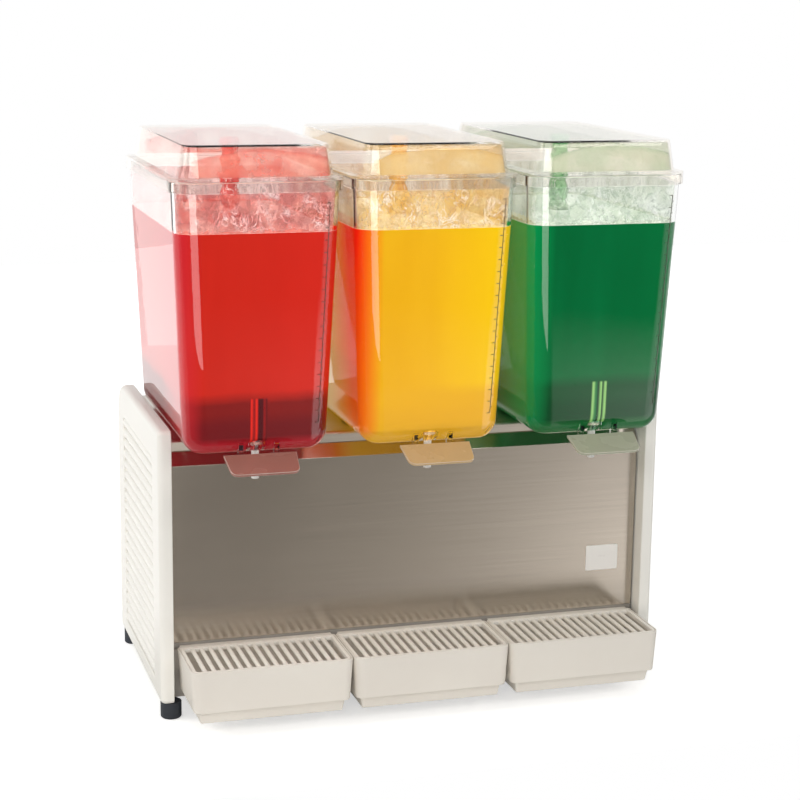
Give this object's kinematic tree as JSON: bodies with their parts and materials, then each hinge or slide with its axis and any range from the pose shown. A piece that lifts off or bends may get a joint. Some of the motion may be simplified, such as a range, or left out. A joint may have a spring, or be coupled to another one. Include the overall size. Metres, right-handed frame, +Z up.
{
  "type": "cold drink dispenser",
  "caption": "Counter-top refrigerated drink dispenser: clear lidded bowls with push-down valves and spray pumps on a stainless cabinet with louvred sides and drip trays.",
  "frame": {"origin": "on the counter under the feet, in the middle of the footprint (push plates to rear edges of the side panels)", "axes": "+X to the right and +Y to the rear as seen by someone drawing a drink, +Z up"},
  "size_m": [0.6224, 0.3982, 0.68],
  "materials": {
    "white_plastic": "satin moulded warm white",
    "stainless": "brushed stainless sheet",
    "painted_steel": "dark powder coat",
    "clear_plastic": "clear polycarbonate",
    "rubber": "dark grey rubber",
    "black_plastic": "matte black",
    "compressor_black": "black enamel",
    "copper": "drawn copper tube",
    "fins": "thin fins",
    "bright_steel": "plated",
    "valve_plastic": "white food-safe plastic",
    "magnet": "ferrite and steel",
    "switch_red": "red rocker"
  },
  "bodies": {
    "cabinet": {"base_pan": "painted_steel", "left_side_panel": "white_plastic", "right_side_panel": "white_plastic", "splash_panel": "stainless", "top_deck": "stainless", "rear_panel": "painted_steel", "feet": "rubber", "panel_screws": "bright_steel", "tray_rail": "painted_steel", "cord_gland": "black_plastic", "control_box": "black_plastic", "compressor": "compressor_black", "compressor_mounts": "rubber", "condenser": "fins", "fan_motor": "painted_steel", "refrigerant_lines": "copper", "pump_motors": "painted_steel", "bowl_gaskets": "rubber", "left_evaporator": "stainless", "left_pump_cover": "white_plastic", "left_spray_tube": "clear_plastic", "center_evaporator": "stainless", "center_pump_cover": "white_plastic", "center_spray_tube": "clear_plastic", "right_evaporator": "stainless", "right_pump_cover": "white_plastic", "right_spray_tube": "clear_plastic"},
    "power_switch": {"power_switch": "switch_red"},
    "thermostat_knob": {"thermostat_knob": "white_plastic"},
    "fan": {"fan_blade": "black_plastic"},
    "left_bowl": {"left_bowl": "clear_plastic", "left_lever_pin": "bright_steel"},
    "left_lid": {"left_lid": "clear_plastic"},
    "left_lever": {"left_lever": "clear_plastic"},
    "left_valve": {"left_valve_plunger": "valve_plastic", "left_valve_seal": "rubber"},
    "left_tray": {"left_drip_tray": "white_plastic"},
    "left_grille": {"left_tray_grille": "white_plastic"},
    "left_impeller": {"left_impeller": "valve_plastic"},
    "left_magnet": {"left_drive_magnet": "magnet"},
    "center_bowl": {"center_bowl": "clear_plastic", "center_lever_pin": "bright_steel"},
    "center_lid": {"center_lid": "clear_plastic"},
    "center_lever": {"center_lever": "clear_plastic"},
    "center_valve": {"center_valve_plunger": "valve_plastic", "center_valve_seal": "rubber"},
    "center_tray": {"center_drip_tray": "white_plastic"},
    "center_grille": {"center_tray_grille": "white_plastic"},
    "center_impeller": {"center_impeller": "valve_plastic"},
    "center_magnet": {"center_drive_magnet": "magnet"},
    "right_bowl": {"right_bowl": "clear_plastic", "right_lever_pin": "bright_steel"},
    "right_lid": {"right_lid": "clear_plastic"},
    "right_lever": {"right_lever": "clear_plastic"},
    "right_valve": {"right_valve_plunger": "valve_plastic", "right_valve_seal": "rubber"},
    "right_tray": {"right_drip_tray": "white_plastic"},
    "right_grille": {"right_tray_grille": "white_plastic"},
    "right_impeller": {"right_impeller": "valve_plastic"},
    "right_magnet": {"right_drive_magnet": "magnet"}
  },
  "joints": [
    {"name": "left_bowl_lift", "type": "slide", "parent": "cabinet", "child": "left_bowl", "axis": [0, 0, 1], "range_m": [0, 0.34]},
    {"name": "left_lid_lift", "type": "slide", "parent": "left_bowl", "child": "left_lid", "axis": [0, 0, 1], "range_m": [0, 0.12]},
    {"name": "left_lever_push", "type": "hinge", "parent": "left_bowl", "child": "left_lever", "pos_m": [-0.2062, -0.15637, 0.314], "axis": [1, 0, 0], "range_deg": [0, 18], "stiffness_Nm_per_rad": 0.4, "springref_deg": -17.19},
    {"name": "left_valve_lift", "type": "slide", "parent": "left_bowl", "child": "left_valve", "axis": [0, 0, 1], "range_m": [0, 0.00534]},
    {"name": "left_tray_lift", "type": "slide", "parent": "cabinet", "child": "left_tray", "axis": [0, 0, 1], "range_m": [0, 0.1]},
    {"name": "left_grille_lift", "type": "slide", "parent": "left_tray", "child": "left_grille", "axis": [0, 0, 1], "range_m": [0, 0.08]},
    {"name": "left_magnet_spin", "type": "hinge", "parent": "cabinet", "child": "left_magnet", "pos_m": [-0.2062, -0.00937, 0.473], "axis": [0, 0, 1], "continuous": true},
    {"name": "left_impeller_spin", "type": "hinge", "parent": "cabinet", "child": "left_impeller", "pos_m": [-0.2062, -0.00937, 0.487], "axis": [0, 0, 1], "continuous": true},
    {"name": "center_bowl_lift", "type": "slide", "parent": "cabinet", "child": "center_bowl", "axis": [0, 0, 1], "range_m": [0, 0.34]},
    {"name": "center_lid_lift", "type": "slide", "parent": "center_bowl", "child": "center_lid", "axis": [0, 0, 1], "range_m": [0, 0.12]},
    {"name": "center_lever_push", "type": "hinge", "parent": "center_bowl", "child": "center_lever", "pos_m": [0, -0.15637, 0.314], "axis": [1, 0, 0], "range_deg": [0, 18], "stiffness_Nm_per_rad": 0.4, "springref_deg": -17.19},
    {"name": "center_valve_lift", "type": "slide", "parent": "center_bowl", "child": "center_valve", "axis": [0, 0, 1], "range_m": [0, 0.00534]},
    {"name": "center_tray_lift", "type": "slide", "parent": "cabinet", "child": "center_tray", "axis": [0, 0, 1], "range_m": [0, 0.1]},
    {"name": "center_grille_lift", "type": "slide", "parent": "center_tray", "child": "center_grille", "axis": [0, 0, 1], "range_m": [0, 0.08]},
    {"name": "center_magnet_spin", "type": "hinge", "parent": "cabinet", "child": "center_magnet", "pos_m": [0, -0.00937, 0.473], "axis": [0, 0, 1], "continuous": true},
    {"name": "center_impeller_spin", "type": "hinge", "parent": "cabinet", "child": "center_impeller", "pos_m": [0, -0.00937, 0.487], "axis": [0, 0, 1], "continuous": true},
    {"name": "right_bowl_lift", "type": "slide", "parent": "cabinet", "child": "right_bowl", "axis": [0, 0, 1], "range_m": [0, 0.34]},
    {"name": "right_lid_lift", "type": "slide", "parent": "right_bowl", "child": "right_lid", "axis": [0, 0, 1], "range_m": [0, 0.12]},
    {"name": "right_lever_push", "type": "hinge", "parent": "right_bowl", "child": "right_lever", "pos_m": [0.2062, -0.15637, 0.314], "axis": [1, 0, 0], "range_deg": [0, 18], "stiffness_Nm_per_rad": 0.4, "springref_deg": -17.19},
    {"name": "right_valve_lift", "type": "slide", "parent": "right_bowl", "child": "right_valve", "axis": [0, 0, 1], "range_m": [0, 0.00534]},
    {"name": "right_tray_lift", "type": "slide", "parent": "cabinet", "child": "right_tray", "axis": [0, 0, 1], "range_m": [0, 0.1]},
    {"name": "right_grille_lift", "type": "slide", "parent": "right_tray", "child": "right_grille", "axis": [0, 0, 1], "range_m": [0, 0.08]},
    {"name": "right_magnet_spin", "type": "hinge", "parent": "cabinet", "child": "right_magnet", "pos_m": [0.2062, -0.00937, 0.473], "axis": [0, 0, 1], "continuous": true},
    {"name": "right_impeller_spin", "type": "hinge", "parent": "cabinet", "child": "right_impeller", "pos_m": [0.2062, -0.00937, 0.487], "axis": [0, 0, 1], "continuous": true},
    {"name": "fan_spin", "type": "hinge", "parent": "cabinet", "child": "fan", "pos_m": [-0.2112, 0.05413, 0.1115], "axis": [1, 0, 0], "continuous": true},
    {"name": "power_switch_rock", "type": "hinge", "parent": "cabinet", "child": "power_switch", "pos_m": [0.19, 0.18013, 0.256], "axis": [1, 0, 0], "range_deg": [-9, 9]},
    {"name": "thermostat_turn", "type": "hinge", "parent": "cabinet", "child": "thermostat_knob", "pos_m": [0.14, 0.18713, 0.256], "axis": [0, 1, 0], "range_deg": [0, 270]}
  ],
  "couplings": [
    {"joint": "left_lever_push", "follows": "left_valve_lift", "rad_per_m": 58.824},
    {"joint": "left_impeller_spin", "follows": "left_magnet_spin", "ratio": 1},
    {"joint": "center_lever_push", "follows": "center_valve_lift", "rad_per_m": 58.824},
    {"joint": "center_impeller_spin", "follows": "center_magnet_spin", "ratio": 1},
    {"joint": "right_lever_push", "follows": "right_valve_lift", "rad_per_m": 58.824},
    {"joint": "right_impeller_spin", "follows": "right_magnet_spin", "ratio": 1}
  ]
}
